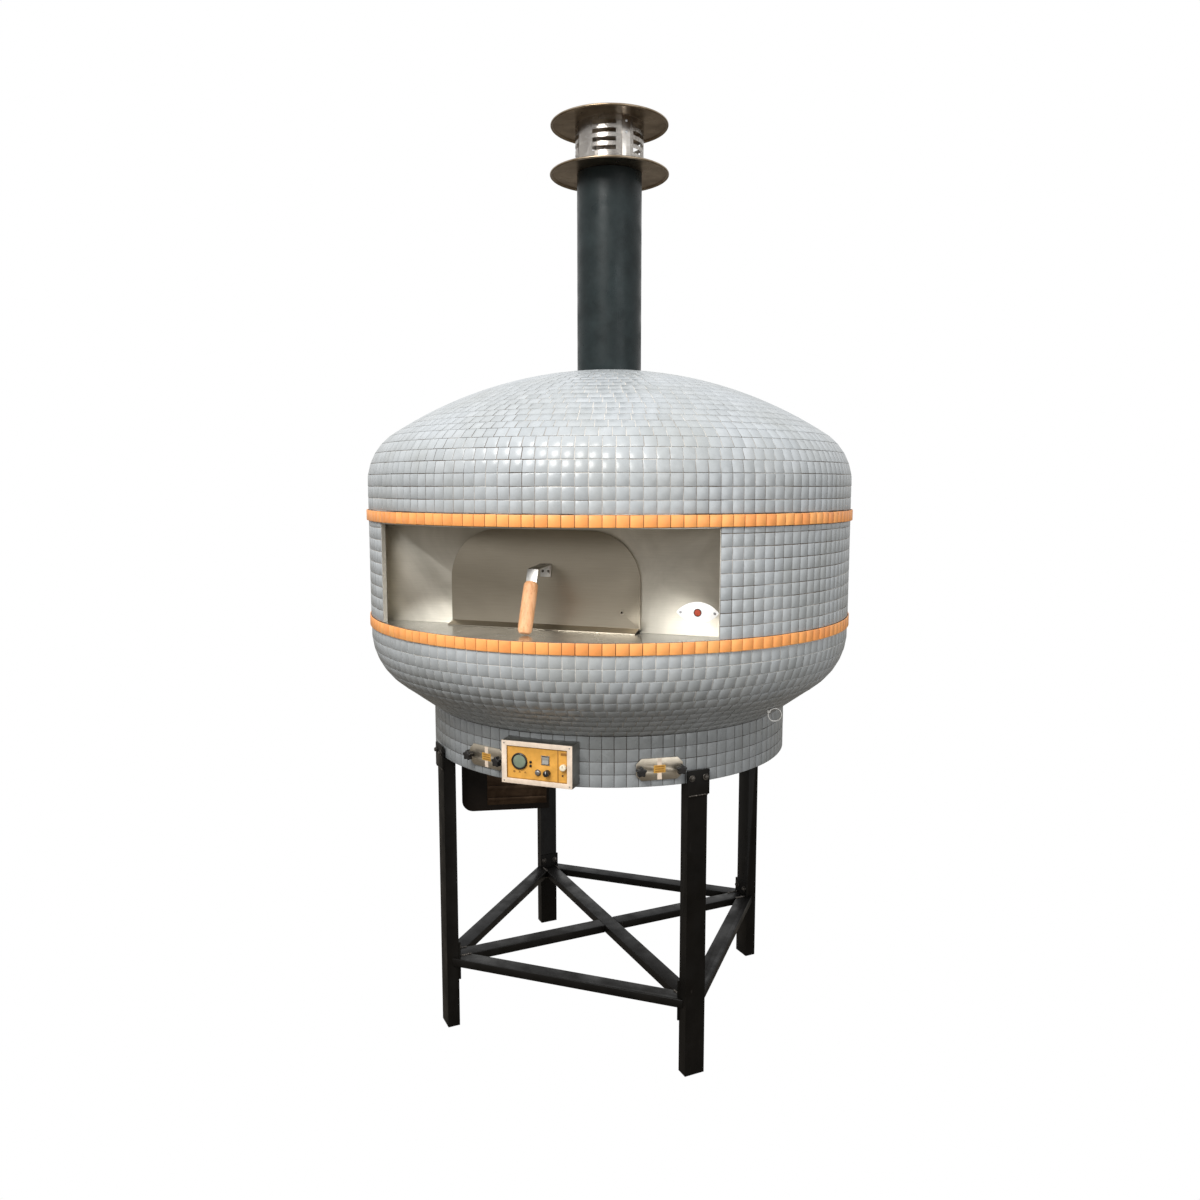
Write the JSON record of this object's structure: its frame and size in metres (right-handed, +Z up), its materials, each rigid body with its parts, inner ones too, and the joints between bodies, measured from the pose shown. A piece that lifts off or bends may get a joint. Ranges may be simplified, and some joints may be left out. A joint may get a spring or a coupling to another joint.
{
  "type": "wood fired pizza oven",
  "caption": "Round mosaic-tiled pizza oven on a steel stand, with a lift-off door, a motor-turned hearth, a control box and a capped flue.",
  "frame": {"origin": "on the floor, on the axis of the round body and its flue", "axes": "+Z up the flue, -Y out of the mouth, +X to the right seen from the front"},
  "size_m": [1.21, 1.21, 2.2216],
  "materials": {
    "tile": "glossy blue-grey mosaic with pale grout",
    "band_tile": "glossy orange mosaic",
    "mouth_steel": "bright cold-rolled stainless with smears",
    "door_steel": "stainless darkened by heat",
    "grip_wood": "turned beech, oiled",
    "black_paint": "brushed black paint, scratched",
    "drive_black": "dark paint with heat-browned edges",
    "pipe_black": "matt blue-black stove paint",
    "cap_stainless": "polished stainless",
    "firebrick": "cast refractory, matt",
    "wool": "ceramic wool blanket",
    "machined_steel": "turned steel",
    "face_orange": "printed amber faceplate",
    "display_glass": "unlit display window",
    "black_plastic": "moulded black plastic",
    "cream_plastic": "cream plastic",
    "cover_steel": "satin stainless plate",
    "badge_white": "white enamelled plate"
  },
  "bodies": {
    "oven": {"skirt": "tile", "bowl_shell": "tile", "drum_wall": "tile", "dome_shell": "tile", "lower_band": "band_tile", "upper_band": "band_tile", "front_plate": "mouth_steel", "shelf": "mouth_steel", "control_box": "mouth_steel", "leg_front_right": "black_paint", "leg_back_right": "black_paint", "leg_back_left": "black_paint", "leg_front_left": "black_paint", "rail_front": "black_paint", "rail_right": "black_paint", "rail_back": "black_paint", "rail_left": "black_paint", "brace_through": "black_paint", "brace_half_front": "black_paint", "brace_half_back": "black_paint", "base_floor": "black_paint", "deck_plate": "black_paint", "drive_box": "drive_black", "gearmotor": "drive_black", "flue_pipe": "pipe_black", "cap_lower_disc": "cap_stainless", "cap_ring": "cap_stainless", "cap_top_disc": "cap_stainless", "hearth_ring": "firebrick", "vault": "firebrick", "insulation": "wool", "bearing_housing": "machined_steel", "thrust_bearing": "machined_steel", "control_face": "face_orange", "round_display": "display_glass", "tie_loop": "cream_plastic", "badge": "badge_white"},
    "door": {"door_panel": "door_steel", "door_strap": "door_steel", "door_grip": "grip_wood"},
    "hearth": {"hearth_stone": "firebrick", "hearth_carrier": "machined_steel", "drive_shaft": "machined_steel", "drive_gear": "machined_steel"},
    "pinion": {"pinion": "machined_steel"},
    "cover_left": {"cover_left": "cover_steel"},
    "cover_right": {"cover_right": "cover_steel"},
    "star_knob_left_left": {"star_knob_left_left": "black_plastic"},
    "star_knob_left_right": {"star_knob_left_right": "black_plastic"},
    "star_knob_right_left": {"star_knob_right_left": "black_plastic"},
    "star_knob_right_right": {"star_knob_right_right": "black_plastic"},
    "display_button_upper": {"display_button_upper": "black_plastic"},
    "display_button_lower": {"display_button_lower": "black_plastic"},
    "start_button": {"start_button": "machined_steel"},
    "rocker_switch": {"rocker_switch": "black_plastic"},
    "speed_knob": {"speed_knob": "black_plastic"},
    "lamp_knob": {"lamp_knob": "cream_plastic"}
  },
  "joints": [
    {"name": "door_pull", "type": "slide", "parent": "oven", "child": "door", "axis": [0, -1, 0], "range_m": [0, 0.3]},
    {"name": "hearth_spin", "type": "hinge", "parent": "oven", "child": "hearth", "pos_m": [0, 0, 1], "axis": [0, 0, 1], "continuous": true},
    {"name": "pinion_spin", "type": "hinge", "parent": "oven", "child": "pinion", "pos_m": [-0.25429, -0.13521, 0.755], "axis": [0, 0, 1], "continuous": true},
    {"name": "cover_left_pull", "type": "slide", "parent": "oven", "child": "cover_left", "axis": [-0.3173, -0.9483, 0], "range_m": [0, 0.06]},
    {"name": "star_knob_left_left_spin", "type": "hinge", "parent": "cover_left", "child": "star_knob_left_left", "pos_m": [-0.18911, -0.42179, 0.732], "axis": [-0.3173, -0.9483, 0], "range_deg": [0, 720]},
    {"name": "star_knob_left_right_spin", "type": "hinge", "parent": "cover_left", "child": "star_knob_left_right", "pos_m": [-0.10281, -0.45067, 0.732], "axis": [-0.3173, -0.9483, 0], "range_deg": [0, 720]},
    {"name": "cover_right_pull", "type": "slide", "parent": "oven", "child": "cover_right", "axis": [0.5519, -0.8339, 0], "range_m": [0, 0.06]},
    {"name": "star_knob_right_left_spin", "type": "hinge", "parent": "cover_right", "child": "star_knob_right_left", "pos_m": [0.21595, -0.4087, 0.729], "axis": [0.5519, -0.8339, 0], "range_deg": [0, 720]},
    {"name": "star_knob_right_right_spin", "type": "hinge", "parent": "cover_right", "child": "star_knob_right_right", "pos_m": [0.29183, -0.35847, 0.729], "axis": [0.5519, -0.8339, 0], "range_deg": [0, 720]},
    {"name": "display_button_upper_press", "type": "slide", "parent": "oven", "child": "display_button_upper", "axis": [0, 1, 0], "range_m": [0, 0.0015], "stiffness_N_per_m": 300},
    {"name": "display_button_lower_press", "type": "slide", "parent": "oven", "child": "display_button_lower", "axis": [0, 1, 0], "range_m": [0, 0.0015], "stiffness_N_per_m": 300},
    {"name": "start_button_press", "type": "slide", "parent": "oven", "child": "start_button", "axis": [0, 1, 0], "range_m": [0, 0.003], "stiffness_N_per_m": 300},
    {"name": "rocker_tilt", "type": "hinge", "parent": "oven", "child": "rocker_switch", "pos_m": [0.024, -0.4777, 0.754], "axis": [1, 0, 0], "range_deg": [-8, 8]},
    {"name": "speed_knob_turn", "type": "hinge", "parent": "oven", "child": "speed_knob", "pos_m": [0.029, -0.4817, 0.727], "axis": [0, 1, 0], "range_deg": [0, 270]},
    {"name": "lamp_knob_turn", "type": "hinge", "parent": "oven", "child": "lamp_knob", "pos_m": [0.0665, -0.4817, 0.743], "axis": [0, 1, 0], "range_deg": [0, 90]}
  ],
  "couplings": [
    {"joint": "pinion_spin", "follows": "hearth_spin", "ratio": -3}
  ]
}
